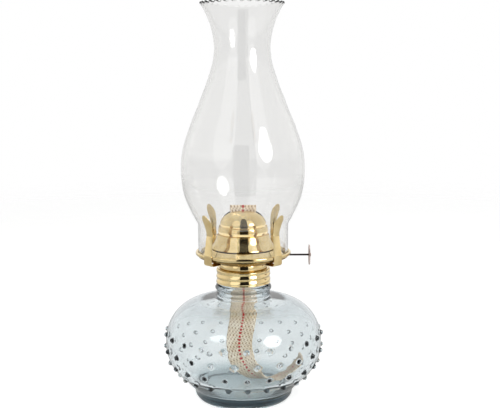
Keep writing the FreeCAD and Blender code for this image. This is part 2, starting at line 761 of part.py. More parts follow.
# Chimney: a straight fitter, a full belly, a long taper to the waist and a flared rim
def make_chimney():
    body = new_body("chimney")
    waist_level = f"({chimney_foot} + waist_rise)"
    belly_level = f"({chimney_foot} + belly_rise)"
    rim_level = f"({chimney_foot} + chimney_height)"
    outside = [
        ("fitter_radius", chimney_foot),
        ("fitter_radius", f"{chimney_foot} + fitter_height"),
        ("chest_radius", f"{chimney_foot} + fitter_height + chest_rise"),
        ("belly_radius", belly_level, belly_level),
        ("taper_start_radius", f"{chimney_foot} + taper_start_rise", belly_level),
        ("taper_end_radius", f"{chimney_foot} + taper_end_rise"),
        ("waist_radius", waist_level, waist_level),
        ("rim_radius", rim_level, waist_level),
    ]
    low_centre = arc_centre("belly_radius", "chest_radius", "(belly_rise - fitter_height - chest_rise)")
    high_centre = arc_centre("belly_radius", "taper_start_radius", "(taper_start_rise - belly_rise)")
    flare_centre = arc_centre("waist_radius", "rim_radius", "(chimney_height - waist_rise)")
    flare_sweep = f"asin((chimney_height - waist_rise) / ({flare_centre} - waist_radius))"
    inside = [("rim_radius - chimney_wall", rim_level)]
    for share in (0.7, 0.4, 0):
        reach = f"({flare_centre} - waist_radius + chimney_wall)"
        inside.append((f"{flare_centre} - {reach} * cos({share} * {flare_sweep})",
                       f"{waist_level} + {reach} * sin({share} * {flare_sweep})"))
    inside.append(("(waist_radius + taper_end_radius) / 2 - chimney_wall - 1",
                   f"{chimney_foot} + (waist_rise + taper_end_rise) / 2"))
    inside.append(("taper_end_radius - chimney_wall", f"{chimney_foot} + taper_end_rise"))
    inside.append(("taper_start_radius - chimney_wall", f"{chimney_foot} + taper_start_rise"))
    for centre, angles in ((high_centre, (12, 5)), (low_centre, (-5, -16))):
        for angle in angles:
            reach = f"(belly_radius - chimney_wall - {centre})"
            inside.append((f"{centre} + {reach} * cos({angle})", f"{belly_level} + {reach} * sin({angle})"))
    inside.append(("chest_radius - chimney_wall", f"{chimney_foot} + fitter_height + chest_rise"))
    inside.append(("fitter_radius - chimney_wall", f"{chimney_foot} + fitter_height"))
    inside.append(("fitter_radius - chimney_wall", chimney_foot))
    revolve(body, "chimney_shell", outside + inside)
    return body


# Wick: a woven strip up the tube, and its tail, which turns from facing the front
# to lying on the floor of the bowl and curls up the wall under the knob
def make_wick():
    body = new_body("wick")
    strip = new_sketch(body, "wick_section", "XY_Plane")
    raise_sketch(strip, "wick_split")
    rectangle(strip, "-wick_width / 2", "-wick_thickness / 2", "wick_width / 2", "wick_thickness / 2")
    pad(body, "wick_strip", strip, f"{wick_top_level} - wick_split")
    return body


def make_wick_tail():
    floor = number("foot_hollow + bowl_floor + floor_dish + wick_thickness")
    top = number("wick_split")
    route = [
        (0.0, 0.0, top), (0.4, 0.0, 84.0), (-1.3, 0.0, 66.0), (-3.8, 0.0, 48.0), (-3.3, 0.0, 38.0),
        (-0.6, 0.0, 29.5), (5.0, 0.0, floor + 9.3), (13.0, 0.0, floor + 2.3), (23.0, 0.0, floor),
        (32.0, 0.0, floor + 2.0), (38.5, 0.0, floor + 7.5), (42.5, 0.0, floor + 15.0),
    ]
    twist = (0, 0, 0, 0, 8, 28, 52, 74, 88, 90, 90, 90)
    half_width = number("wick_width / 2")
    half_thickness = number("wick_thickness / 2")
    sections = []
    for index, spot in enumerate(route):
        before = Vector(*route[max(index - 1, 0)])
        after = Vector(*route[min(index + 1, len(route) - 1)])
        along = (after - before).normalize()
        if index == 0:
            along = Vector(0, 0, -1)
        face = Rotation(along, -twist[index])
        across = along.cross(Vector(0, 1, 0)).normalize() * -1
        across = face.multVec(across)
        through = along.cross(across).normalize()
        corners = [Vector(*spot) + across * (half_width * side) + through * (half_thickness * lift)
                   for side, lift in ((-1, -1), (1, -1), (1, 1), (-1, 1))]
        sections.append(Part.makePolygon(corners + [corners[0]]))
    tail = document.addObject("Part::Feature", "wick_tail")
    tail.Label = "wick_tail"
    tail.Shape = Part.makeLoft(sections, True, True)
    return tail


def check(pieces):
    """Stop on a failed object or a shape that isn't whole."""
    for item in document.Objects:
        if "Invalid" in item.State or "Error" in item.State:
            raise RuntimeError(f"{item.Label} failed: {item.State}")
    for piece in pieces:
        shape = piece.Shape
        if shape.isNull() or not shape.isValid() or not shape.Solids:
            raise RuntimeError(f"{piece.Label} has no sound shape")
        print(f"{piece.Label}: {len(shape.Solids)} solid, {len(shape.Faces)} faces, {shape.Volume:.0f} mm3")


reservoir = make_reservoir()
add_hobs(reservoir)
pieces = [
    reservoir,
    make_gasket(),
    make_collar(),
    make_cup(),
    make_cup_floor(),
    make_vent(),
    make_wick_tube(),
    make_air_screen(),
    make_gallery(),
    make_dome(),
    make_prong_ring(),
    make_bracket(),
    make_sleeve(),
    make_chimney(),
    make_wick(),
    make_wick_tail(),
]
pieces += make_raiser()
document.recompute()
check(pieces)

os.makedirs("parts", exist_ok=True)
for piece in pieces:
    piece.Shape.exportStep(f"parts/{piece.Label}.step")
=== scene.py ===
import bpy
import math
import numpy as np
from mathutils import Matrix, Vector


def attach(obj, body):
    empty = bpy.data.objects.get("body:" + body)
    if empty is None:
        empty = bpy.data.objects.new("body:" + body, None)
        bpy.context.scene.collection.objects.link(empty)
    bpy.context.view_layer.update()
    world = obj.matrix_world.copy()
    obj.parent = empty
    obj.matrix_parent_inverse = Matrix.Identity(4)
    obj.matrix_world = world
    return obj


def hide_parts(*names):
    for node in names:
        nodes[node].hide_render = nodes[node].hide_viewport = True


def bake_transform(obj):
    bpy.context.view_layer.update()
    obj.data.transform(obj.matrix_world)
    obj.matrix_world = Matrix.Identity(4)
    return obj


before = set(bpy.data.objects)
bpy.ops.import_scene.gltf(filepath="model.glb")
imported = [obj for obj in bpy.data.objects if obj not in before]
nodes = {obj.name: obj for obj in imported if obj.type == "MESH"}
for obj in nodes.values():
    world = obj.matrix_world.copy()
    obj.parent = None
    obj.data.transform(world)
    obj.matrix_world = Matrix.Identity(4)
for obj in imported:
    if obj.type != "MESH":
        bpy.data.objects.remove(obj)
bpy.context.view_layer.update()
mm = 0.001                      # sizes below are in millimetres
fullTurn = 2 * math.pi
print("frame loaded with", len(nodes), "nodes")

# Lines and outlines, as arrays of (r, z) or (x, y, z) points


# Point = centre + radius (cos a, sin a), for angles in degrees.
def arcLine(centre, radius, start, end, steps):
    a = np.radians(np.linspace(start, end, steps + 1))
    return np.stack([centre[0] + radius * np.cos(a), centre[1] + radius * np.sin(a)], 1)


# Round stretch between its widest place and its end, both (r, z): the centre lies level
# with the widest place, at r = (end r^2 - widest r^2 + rise^2) / (2 (end r - widest r)).
def bulge(widest, end):
    rise = end[1] - widest[1]
    centre = (end[0] ** 2 - widest[0] ** 2 + rise ** 2) / (2 * (end[0] - widest[0]))
    radius = widest[0] - centre
    return (centre, widest[1]), radius, math.degrees(math.asin(rise / radius))


# Corners (x, z, radius) joined by straight runs. Each corner is cut back by
# radius / tan(half its angle) on both sides, and an arc of that radius joins the cuts.
def roundedLine(corners, closed=False, arcSteps=6):
    places = np.array([corner[:2] for corner in corners], float)
    count = len(corners)
    pieces = []
    for k, (x, z, radius) in enumerate(corners):
        if radius == 0 or (not closed and k in (0, count - 1)):
            pieces.append(places[k:k + 1])
            continue
        before = places[k - 1] - places[k]
        after = places[(k + 1) % count] - places[k]
        before /= np.linalg.norm(before)
        after /= np.linalg.norm(after)
        half = math.acos(np.clip(before @ after, -1, 1)) / 2
        inward = (before + after) / np.linalg.norm(before + after)
        along = (after - before) / np.linalg.norm(after - before)
        t = np.linspace(half - math.pi / 2, math.pi / 2 - half, arcSteps + 1)[:, None]
        centre = places[k] + inward * radius / math.sin(half)
        pieces.append(centre + radius * (along * np.sin(t) - inward * np.cos(t)))
    return np.concatenate(pieces)


# Distance of each point from the first one, measured along the line.
def lengthAlong(line):
    return np.concatenate([[0], np.cumsum(np.linalg.norm(np.diff(line, axis=0), axis=1))])


# Curve through knots: between two of them a cubic with their slopes, where a slope is
# the mean of the chords beside the knot, weighted by the other chord's length.
def smoothLine(knots, spacing):
    knots = np.array(knots, float)
    place = lengthAlong(knots)
    slope = np.gradient(knots, place, axis=0)
    at = np.linspace(0, place[-1], int(place[-1] / spacing) + 1)
    k = np.clip(np.searchsorted(place, at, side="right") - 1, 0, len(knots) - 2)
    step = (place[k + 1] - place[k])[:, None]
    t = (at - place[k])[:, None] / step
    return ((2 * t**3 - 3 * t**2 + 1) * knots[k] + (t**3 - 2 * t**2 + t) * step * slope[k]
            + (3 * t**2 - 2 * t**3) * knots[k + 1] + (t**3 - t**2) * step * slope[k + 1])


# The same line with its points at other places along it.
def pointsAt(line, place):
    own = lengthAlong(line)
    return np.stack([np.interp(place, own, line[:, k]) for k in range(line.shape[1])], -1)


# Places from 0 to the end whose spacing follows wanted(place): its inverse is summed
# along the line, and the places lie at equal steps of that sum.
def gradedPlaces(end, wanted, samples=6000):
    fine = np.linspace(0, end, samples)
    total = np.concatenate([[0], np.cumsum(np.diff(fine) / wanted(fine)[1:])])
    return np.interp(np.linspace(0, total[-1], int(total[-1]) + 1), total, fine)


# 1 between two levels, falling to 0 over the last run of millimetres at both ends.
def fadedZone(z, zone, run=1.2):
    return np.clip((z - zone[0]) / run, 0, 1) * np.clip((zone[1] - z) / run, 0, 1)


# Unit normals of a flat line, (-dz, dr) over its length, to the left of the way it runs.
def leftNormals(line):
    run = np.gradient(line, axis=0)
    run /= np.linalg.norm(run, axis=1)[:, None]
    return np.stack([-run[:, 1], run[:, 0]], 1)


# Closed outline of sheet metal: the line is shifted by half the thickness to the left,
# and comes back shifted to the right, with a rounded edge at both ends.
def sheetOutline(line, thickness, edgeSteps=4):
    normal = leftNormals(line)
    half = thickness / 2
    sides = []
    for end, sign in ((-1, 1), (0, -1)):
        out = np.array([normal[end][1], -normal[end][0]]) * sign
        t = np.linspace(0, math.pi, edgeSteps + 1)[1:-1, None]
        sides.append(line[end] + half * (sign * normal[end] * np.cos(t) + out * np.sin(t)))
    return np.concatenate([line + normal * half, sides[0], (line - normal * half)[::-1], sides[1]])


# Meshes


# Corner numbers of the quads of a grid. An edge that is closed joins the last line of
# points to the first.
def gridQuads(rows, columns, closeRows=False, closeColumns=True):
    i = np.arange(rows if closeRows else rows - 1)
    j = np.arange(columns if closeColumns else columns - 1)
    i, j = np.meshgrid(i, j, indexing="ij")
    right, below = (j + 1) % columns, (i + 1) % rows
    corners = [i * columns + j, i * columns + right, below * columns + right, below * columns + j]
    return np.stack(corners, -1).reshape(-1, 4)


# Fans that close a grid's first and last row with a pole each. The poles are the two
# points that follow the grid's own.
def poleFans(rows, columns):
    ring = np.arange(columns)
    onward = (ring + 1) % columns
    last = (rows - 1) * columns
    first, second = np.full(columns, rows * columns), np.full(columns, rows * columns + 1)
    return [np.stack([first, onward, ring], 1), np.stack([second, ring + last, onward + last], 1)]


# Mesh object from points in millimetres and faces of 3 or 4 corners. Its signed volume
# is the sum of a . (b x c) / 6 over the faces, and where that is negative every face is
# turned round. Values given by name become attributes on the points.
def meshPiece(name, points, faces, material, openSheet=False, sharpAngle=40, **values):
    points = points.reshape(-1, 3)
    volume = 0
    for f in faces:
        for k in range(1, f.shape[1] - 1):
            a, b, c = points[f[:, 0]], points[f[:, k]], points[f[:, k + 1]]
            volume += np.einsum("ij,ij->", a, np.cross(b, c)) / 6
    if volume < 0 and not openSheet:
        faces = [f[:, ::-1] for f in faces]
    corner = np.concatenate([f.ravel() for f in faces]).astype(np.int32)
    sizes = np.concatenate([np.full(len(f), f.shape[1], np.int32) for f in faces])
    mesh = bpy.data.meshes.new(name)
    mesh.vertices.add(len(points))
    mesh.vertices.foreach_set("co", (points * mm).astype(np.float32).ravel())
    mesh.loops.add(len(corner))
    mesh.loops.foreach_set("vertex_index", corner)
    mesh.polygons.add(len(sizes))
    starts = np.concatenate([[0], np.cumsum(sizes)[:-1]])
    mesh.polygons.foreach_set("loop_start", starts.astype(np.int32))
    mesh.polygons.foreach_set("use_smooth", np.ones(len(sizes), bool))
    for key, value in values.items():
        attribute = mesh.attributes.new(key, "FLOAT", "POINT")
        attribute.data.foreach_set("value", value.astype(np.float32).ravel())
    mesh.update(calc_edges=True)
    mesh.validate()
    mesh.set_sharp_from_angle(angle=math.radians(sharpAngle))
    mesh.materials.append(material)
    piece = bpy.data.objects.new(name, mesh)
    bpy.context.scene.collection.objects.link(piece)
    return piece


# Point = (r cos a, r sin a, z), for arrays of radii, heights and angles.
def around(r, z, angle):
    r, z, angle = np.broadcast_arrays(r, z, angle)
    return np.stack([r * np.cos(angle), r * np.sin(angle), z], -1)


# Turned piece: a closed outline carried round the Z axis.
def turnedPiece(name, outline, material, columns=180):
    angle = np.arange(columns) / columns * fullTurn
    points = around(outline[:, :1], outline[:, 1:], angle[None])
    return meshPiece(name, points, [gridQuads(len(outline), columns, closeRows=True)], material)


# Materials


# Linear colour of an sRGB hex value: below 0.04045 it is c / 12.92, above it
# ((c + 0.055) / 1.055) to the power 2.4.
def colour(hexValue):
    c = np.array([int(hexValue[k:k + 2], 16) / 255 for k in (1, 3, 5)])
    return (*np.where(c <= 0.04045, c / 12.92, ((c + 0.055) / 1.055) ** 2.4), 1)


# Adds a node. Inputs are values or the sockets that feed them, and a colour ramp also
# gets its places and colours.
def addNode(tree, kind, settings=None, inputs=None, ramp=()):
    node = tree.nodes.new(kind)
    for key, value in (settings or {}).items():
        setattr(node, key, value)
    for key, value in (inputs or {}).items():
        if isinstance(value, bpy.types.NodeSocket):
            tree.links.new(value, node.inputs[key])
        else:
            node.inputs[key].default_value = value
    for k, (place, shade) in enumerate(ramp):
        node.color_ramp.elements[k].position = place
        node.color_ramp.elements[k].color = shade
    return node


# Empty material with its node tree.
def newMaterial(name):
    material = bpy.data.materials.new(name)
    material.use_nodes = True
    material.node_tree.nodes.clear()
    return material, material.node_tree


# Wavelength in mm to a Wave Texture's scale: its bands repeat every 2 pi / (20 scale) metres.
def waveScale(wavelength):
    return fullTurn / (20 * wavelength * mm)


# Patch size in mm to a Noise Texture's scale.
def noiseScale(size):
    return 1 / (size * mm)


# Patterns on sheet brass, in mm. Real turning lines lie about 0.2 mm apart, which doesn't
# show at this distance, so they are drawn coarser.
sheetPattern = {
    "cloud": 9, "dent": 1.1, "dentDepth": 0.03, "turning": 0.9, "turningDepth": 0.02,
}


# Stamped and spun sheet brass: faint turning lines, small dents, and cloudy patches where
# the lacquer is thin, which are deeper in colour and duller.
def makeBrass(name, light, deep, roughness, turning):
    size = sheetPattern
    material, tree = newMaterial(name)
    place = addNode(tree, "ShaderNodeTexCoord").outputs["Object"]
    cloud = addNode(tree, "ShaderNodeTexNoise", inputs={
        "Vector": place, "Scale": noiseScale(size["cloud"]), "Detail": 4.0, "Roughness": 0.55})
    fine = addNode(tree, "ShaderNodeTexNoise", inputs={
        "Vector": place, "Scale": noiseScale(size["dent"]), "Detail": 3.0})
    lines = addNode(tree, "ShaderNodeTexWave", {"bands_direction": "Z"}, {
        "Vector": place, "Scale": waveScale(size["turning"]), "Distortion": 1.5, "Detail": 2.0})
    base = addNode(tree, "ShaderNodeValToRGB", inputs={"Fac": cloud.outputs["Fac"]},
                   ramp=[(0.35, colour(deep)), (0.62, colour(light))])
    rough = addNode(tree, "ShaderNodeMapRange", inputs={
        "Value": cloud.outputs["Fac"], "From Min": 0.35, "From Max": 0.7,
        "To Min": roughness[1], "To Max": roughness[0]})
    turned = addNode(tree, "ShaderNodeBump", inputs={
        "Height": lines.outputs["Fac"], "Strength": turning, "Distance": size["turningDepth"] * mm})
    dented = addNode(tree, "ShaderNodeBump", inputs={
        "Height": fine.outputs["Fac"], "Strength": 0.12, "Distance": size["dentDepth"] * mm,
        "Normal": turned.outputs["Normal"]})
    shader = addNode(tree, "ShaderNodeBsdfPrincipled", inputs={
        "Base Color": base.outputs["Color"], "Metallic": 1.0, "Roughness": rough.outputs["Result"],
        "Normal": dented.outputs["Normal"]})
    addNode(tree, "ShaderNodeOutputMaterial", inputs={"Surface": shader.outputs["BSDF"]})
    return material


# The burner's outside is polished and lacquered, a warm mirror. Inside it the sheet is as it
# left the press, satin, and its darker colour is partly painted shade for the parts under the
# gallery. Under the dome the near-black colour is painted shade for the dome's hollow inside.
brass = makeBrass("polished_lacquered_brass", "#ebd5a2", "#dfc58e", roughness=(0.025, 0.07), turning=0.05)
# Partly painted shade: besides being satin, this brass is darker so it stands in for the shade under the
# gallery
bareBrassAndShade = makeBrass("bare_sheet_brass_and_painted_shade", "#b8985e", "#937645", roughness=(0.2, 0.38), turning=0.1)
# Painted shade: the dome's inside is coloured near black to stand in for the shade in its hollow
paintedShadeBrass = makeBrass("brass_painted_dark_as_shade", "#57452b", "#38301f", roughness=(0.35, 0.5), turning=0.1)
# The knob is copper plated over brass, which gives it a pale pink, satin look
knobBrass = makeBrass("pink_copper_plated_knob", "#ecdcd6", "#cdb6ad", roughness=(0.22, 0.36), turning=0.3)

glassPattern = {
    "rollDepth": 0.4,                   # mm
    # mm: the painted shade at the foot fades out between these two levels
    "lowShadeLevels": (9, 18),              # mm, between which a foot's colour gives way to the wall's
}


# Soda-lime glass, clear all through. It tints by the length of the light's path, so it is
# darker at the edges, and its fire-polished faces roll a little. The surface colour can grey
# towards the bottom, which is painted shade low on the font.
def makeGlass(name, tint, density, roll, rollSize, surface, lowShadeSurface=None):
    material, tree = newMaterial(name)
    place = addNode(tree, "ShaderNodeTexCoord").outputs["Object"]
    waves = addNode(tree, "ShaderNodeTexNoise", inputs={
        "Vector": place, "Scale": noiseScale(rollSize), "Detail": 2.0, "Roughness": 0.4})
    rolled = addNode(tree, "ShaderNodeBump", inputs={
        "Height": waves.outputs["Fac"], "Strength": roll, "Distance": glassPattern["rollDepth"] * mm})
    base = colour(surface)
    # Painted shade: below the given levels the surface colour greys towards the foot
    if lowShadeSurface:
        low, high = glassPattern["lowShadeLevels"]
        level = addNode(tree, "ShaderNodeSeparateXYZ", inputs={"Vector": place}).outputs["Z"]
        above = addNode(tree, "ShaderNodeMapRange", inputs={
            "Value": level, "From Min": low * mm, "From Max": high * mm}).outputs["Result"]
        base = addNode(tree, "ShaderNodeValToRGB", inputs={"Fac": above},
                       ramp=[(0.0, colour(lowShadeSurface)), (1.0, colour(surface))]).outputs["Color"]
    shader = addNode(tree, "ShaderNodeBsdfPrincipled", inputs={
        "Base Color": base, "Roughness": 0.01, "IOR": 1.5,
        "Transmission Weight": 1.0, "Normal": rolled.outputs["Normal"]})
    absorb = addNode(tree, "ShaderNodeVolumeAbsorption", inputs={
        "Color": colour(tint), "Density": density})
    addNode(tree, "ShaderNodeOutputMaterial", inputs={
        "Surface": shader.outputs["BSDF"], "Volume": absorb.outputs["Volume"]})
    return material


chimneyGlass = makeGlass("blown_clear_glass", tint="#c0bfba", density=98.0, roll=0.12, rollSize=22,
                         surface="#ffffff")
# The greyer colour low on the font is painted shade at its foot
fontGlass = makeGlass("pressed_blue_grey_glass", tint="#7f99a4", density=45.0, roll=0.2, rollSize=14,
                      surface="#f9fbfb", lowShadeSurface="#cbd6d8")


# Steel wire, oil-blackened and dull, with a scale in patches of 1.5 mm.
def makeSteel(patch=1.5):
    material, tree = newMaterial("oil_blackened_steel_wire")
    place = addNode(tree, "ShaderNodeTexCoord").outputs["Object"]
    scale = addNode(tree, "ShaderNodeTexNoise", inputs={
        "Vector": place, "Scale": noiseScale(patch), "Detail": 5.0})
    base = addNode(tree, "ShaderNodeValToRGB", inputs={"Fac": scale.outputs["Fac"]},
                   ramp=[(0.35, colour("#2b2622")), (0.7, colour("#5a5048"))])
    bump = addNode(tree, "ShaderNodeBump", inputs={
        "Height": scale.outputs["Fac"], "Strength": 0.3, "Distance": 0.05 * mm})
    shader = addNode(tree, "ShaderNodeBsdfPrincipled", inputs={
        "Base Color": base.outputs["Color"], "Metallic": 1.0, "Roughness": 0.38,
        "Normal": bump.outputs["Normal"]})
    addNode(tree, "ShaderNodeOutputMaterial", inputs={"Surface": shader.outputs["BSDF"]})
    return material


# Pressed cork: brown grains of 1.4 mm, dry and dull.
def makeCork(grain=1.4):
    material, tree = newMaterial("pressed_cork")
    place = addNode(tree, "ShaderNodeTexCoord").outputs["Object"]
    grains = addNode(tree, "ShaderNodeTexVoronoi", inputs={
        "Vector": place, "Scale": noiseScale(grain)})
    base = addNode(tree, "ShaderNodeValToRGB", inputs={"Fac": grains.outputs["Distance"]},
                   ramp=[(0.1, colour("#8c6a44")), (0.8, colour("#5d4229"))])
    bump = addNode(tree, "ShaderNodeBump", inputs={
        "Height": grains.outputs["Distance"], "Strength": 0.5, "Distance": 0.2 * mm})
    shader = addNode(tree, "ShaderNodeBsdfPrincipled", inputs={
        "Base Color": base.outputs["Color"], "Roughness": 0.85, "Normal": bump.outputs["Normal"]})
    addNode(tree, "ShaderNodeOutputMaterial", inputs={"Surface": shader.outputs["BSDF"]})
    return material


steel, cork = makeSteel(), makeCork()
print("materials ready")

# Font: pressed glass with hobs

font = {
    "wall": 4.2, "shoulderWall": 5.6,
    "shoulderTurn": 8.0,          # degrees short of the shoulder where the inside turns to the neck
    "widest": 66.7, "band": (47.0, 51.0),
    "knee": (53.5, 20.0), "shoulder": (34.0, 85.9),
    "foot": [(0, 3.0, 0), (33.6, 3.0, 1.4), (35.4, 0, 1.0), (38.8, 0, 2.0), (41.6, 3.4, 3.5),
             (42.6, 8.6, 5.0)],
    "neck": [(22.0, 86.8, 1.3), (23.0, 88.3, 0.8), (22.0, 89.75, 0.7), (23.4, 91.2, 0.9),
             (22.0, 93.5, 1.2), (24.0, 95.0, 0.9), (24.0, 96.9, 0.9), (22.9, 98.4, 0.6),
             (20.9, 98.6, 0.8), (20.9, 108.0, 0.9), (17.4, 108.0, 0.9), (17.4, 85.2, 4.0)],
    "floor": [(37.0, 9.8, 9.0), (0, 8.6, 0)],
    "hobCount": 22,
    "hobRows": [(57.1, -87.4), (44.46, -96.3), (32.2, -86.9), (21.3229, -86.2)],   # level, first angle
    "hobReach": 2.8, "hobBead": 1.9, "hobLift": 0.45,
    "ballShare": 0.78, "ballAngle": 85,
    "threadPitch": 3.8, "threadDepth": 0.42, "threadPower": 1.5, "threadZone": (100.2, 106.8),
    # Spacing of the grid's rows: plain, round the foot's edge, on the neck and at the hobs
    "spacing": 2.6, "edgeSpacing": 0.8, "neckSpacing": 0.55, "hobSpacing": 0.44,
    "edgeZone": (29, 44),         # way along the line
    "neckLevel": 86.0, "neckMargin": 2, "mouthRun": 8,
    "rowMargin": 0.3, "columnMargin": 0.2,     # the grid stays fine this far past a hob
    "hobColumns": 16,             # columns for each hob
    "crowd": 0.34,                # as a share of the pitch, those this near its middle crowd at it
    "crowdWidths": (0.05, 0.4),   # and take this much of the pitch at least and at most
    "leanHold": 3.4,              # a row's own angle holds this far up and down from it
    "mostStretch": 4,
}


# A hob's outline by q, the distance from its middle over its reach: up to ballShare it is a
# ball, (R sin a, lift + R cos a) with a up to ballAngle, and then a fillet that runs out.
def hobOutline(size):
    q = np.linspace(0, 1, 60)
    ball, turn = size["ballShare"], math.radians(size["ballAngle"])
    a = turn * np.clip(q / ball, 0, 1)
    run = np.clip((q - ball) / (1 - ball), 0, 1)
    rim = size["hobBead"] * math.sin(turn)
    rimHeight = size["hobLift"] + size["hobBead"] * math.cos(turn)
    out = np.where(q < ball, size["hobBead"] * np.sin(a), rim + (size["hobReach"] - rim) * run)
    up = np.where(q < ball, size["hobLift"] + size["hobBead"] * np.cos(a), rimHeight * (1 - run) ** 2)
    return q, out, up


# The font is one line (r, z) from the middle of the hollow under the foot, up the outside,
# over the mouth and down inside to the middle of the floor, carried round the axis. A point
# near a hob's middle is moved onto the hob's outline: outwards by its height and sideways
# by its radius. Columns crowd towards the hobs and lean from row to row to meet them.
def makeFont(size):
    wall = size["wall"]
    low, lowRadius, kneeAngle = bulge((size["widest"], size["band"][0]), size["knee"])
    up, upRadius, shoulderAngle = bulge((size["widest"], size["band"][1]), size["shoulder"])
    a = np.radians(np.linspace(shoulderAngle - size["shoulderTurn"], 0, 30))
    away = upRadius - (wall + (size["shoulderWall"] - wall) * np.sin(a) ** 3)
    under = np.stack([up[0] + away * np.cos(a), up[1] + away * np.sin(a)], 1)
    foot = roundedLine(size["foot"] + [(*size["knee"], 0)])[:-1]
    inside = arcLine(low, lowRadius - wall, 0, kneeAngle, 24)
    line = np.concatenate([
        foot,
        arcLine(low, lowRadius, kneeAngle, 0, 60),
        arcLine(up, upRadius, 0, shoulderAngle - 2, 60),
        roundedLine([(*size["shoulder"], 0)] + size["neck"] + [(*under[0], 0)])[1:-1],
        under,
        inside,
        roundedLine([(*inside[-1], 0)] + size["floor"])[1:]])
    place = lengthAlong(line)
    top = line[:, 1].argmax()
    side = slice(len(foot), top)
    hobPlaces = [np.interp(level, line[side, 1], place[side]) for level, _ in size["hobRows"]]
    neckStart = np.interp(size["neckLevel"], line[side, 1], place[side]) - size["neckMargin"]
    mouthEnd = place[top] + size["mouthRun"]

    def spacing(at):
        wanted = np.full(len(at), size["spacing"])
        wanted[(at > neckStart) & (at < mouthEnd)] = size["neckSpacing"]
        wanted[(at > size["edgeZone"][0]) & (at < size["edgeZone"][1])] = size["edgeSpacing"]
        for middle in hobPlaces:
            wanted[abs(at - middle) < size["hobReach"] + size["rowMargin"]] = size["hobSpacing"]
        return wanted

    rows = gradedPlaces(place[-1], spacing)[1:-1, None]
    radius = np.interp(rows, place, line[:, 0])
    pitch = fullTurn / size["hobCount"]
    perHob, crowd = size["hobColumns"], size["crowd"]
    column = np.arange(size["hobCount"] * perHob)
    t = (column % perHob / perHob - 0.5)[None]
    hobWidth = (size["hobReach"] + size["columnMargin"]) / np.maximum(radius, 1) / pitch
    hobWidth = np.clip(hobWidth, *size["crowdWidths"])
    between = (abs(t) - crowd) / (0.5 - crowd)
    t = np.where(abs(t) < crowd, t / crowd * hobWidth,
                 np.sign(t) * (hobWidth + between * (0.5 - hobWidth)))
    knots, turns = [], []
    for k in np.argsort(hobPlaces):
        knots += [hobPlaces[k] - size["leanHold"], hobPlaces[k] + size["leanHold"]]
        turns += [math.radians(size["hobRows"][k][1])] * 2
    angle = (column // perHob * pitch)[None] + t * pitch + np.interp(rows, knots, turns)
    at = np.broadcast_to(rows, angle.shape).copy()
    height = np.zeros(angle.shape)
    q, out, lift = hobOutline(size)
    for middle, (_, firstAngle) in zip(hobPlaces, size["hobRows"]):
        off = angle - math.radians(firstAngle)
        off = (off + pitch / 2) % pitch - pitch / 2
        along = at - middle
        away = np.hypot(off * radius, along)
        near = away < size["hobReach"]
        way = away / size["hobReach"]
        stretch = np.where(near, np.interp(way, q, out) / np.maximum(away, 1e-6), 1)
        stretch = np.minimum(stretch, size["mostStretch"])
        angle = angle + np.where(near, off * (stretch - 1), 0)
        at = at + np.where(near, along * (stretch - 1), 0)
        height = height + np.where(near, np.interp(way, q, lift), 0)
    normal = -leftNormals(line)
    r, z = np.interp(at, place, line[:, 0]), np.interp(at, place, line[:, 1])
    r = r + height * np.interp(at, place, normal[:, 0])
    z = z + height * np.interp(at, place, normal[:, 1])
    # Thread: a rounded ridge on the mouth's outside that climbs one pitch per turn
    ridge = np.maximum(np.cos((z / size["threadPitch"] - angle / fullTurn) * fullTurn), 0)
    ridge = ridge ** size["threadPower"] * fadedZone(z, size["threadZone"]) * (at < place[top])
    r = r + size["threadDepth"] * ridge
    points = around(r, z, angle).reshape(-1, 3)
    poles = np.array([[0, 0, line[0, 1]], [0, 0, line[-1, 1]]])
    faces = [gridQuads(*angle.shape), *poleFans(*angle.shape)]
    return meshPiece("font_glass", np.concatenate([points, poles]), faces, fontGlass, sharpAngle=75)


fontPiece = makeFont(font)
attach(fontPiece, "font")
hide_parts("reservoir")
fontPiece.visible_shadow = False       # clear glass lets the lamps through
print("font made,", len(fontPiece.data.polygons), "faces")

# Chimney: blown glass with a crimped rim

chimney = {
    "foot": (38.1, 125.2, 148.9),       # radius and both ends of its straight wall
    "knots": [(38.1, 150.8), (43.6, 161.3), (49.4, 175.5), (52.1, 193.8), (50.6, 213.0), (45.3, 230.1),
              (36.6, 252.0), (29.0, 271.8), (24.3, 288.0), (23.4, 297.8), (25.2, 311.0), (29.4, 323.5),
              (34.6, 333.2)],
    "wall": 2.0,
    "crimps": 34, "crimpIn": 0.6, "crimpUp": 1.6, "crimpZone": 5.2,
    # Spacing of the grid's rows, closer over the last run of the way up, and its columns
    "spacing": 2.2, "rimSpacing": 0.5, "rimRun": 8, "perCrimp": 12,
}


# The outside line runs from the foot to the rim and the inside one comes back a wall's
# thickness in. Near the rim the radius and height get a cosine of the angle, one wave for
# each crimp, that grows with the square of the way through the crimped zone.
def makeChimney(size):
    radius, low, high = size["foot"]
    foot = np.stack([np.full(12, radius), np.linspace(low, high, 12)], 1)
    side = np.concatenate([foot, smoothLine(size["knots"], 1.0)])
    end = lengthAlong(side)[-1]

    def spacing(at):
        return np.where(at > end - size["rimRun"], size["rimSpacing"], size["spacing"])

    side = pointsAt(side, gradedPlaces(end, spacing))
    middle = side + leftNormals(side) * size["wall"] / 2
    outline = sheetOutline(middle, size["wall"], edgeSteps=8)
    columns = size["crimps"] * size["perCrimp"]
    angle = (np.arange(columns) / columns * fullTurn)[None]
    r, z = outline[:, :1], outline[:, 1:]
    grow = np.clip((z - z.max() + size["crimpZone"]) / size["crimpZone"], 0, 1) ** 2
    wave = np.cos(size["crimps"] * angle)
    points = around(r + size["crimpIn"] * grow * wave, z - size["crimpUp"] * grow * (1 - wave) / 2, angle)
    return meshPiece("chimney_glass", points, [gridQuads(len(outline), columns, closeRows=True)],
                     chimneyGlass, sharpAngle=75)


chimneyPiece = makeChimney(chimney)
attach(chimneyPiece, "chimney")
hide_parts("chimney")
chimneyPiece.visible_shadow = False
print("chimney made")

# Wick: one woven tape from the dome's slot down through the tube and into the font

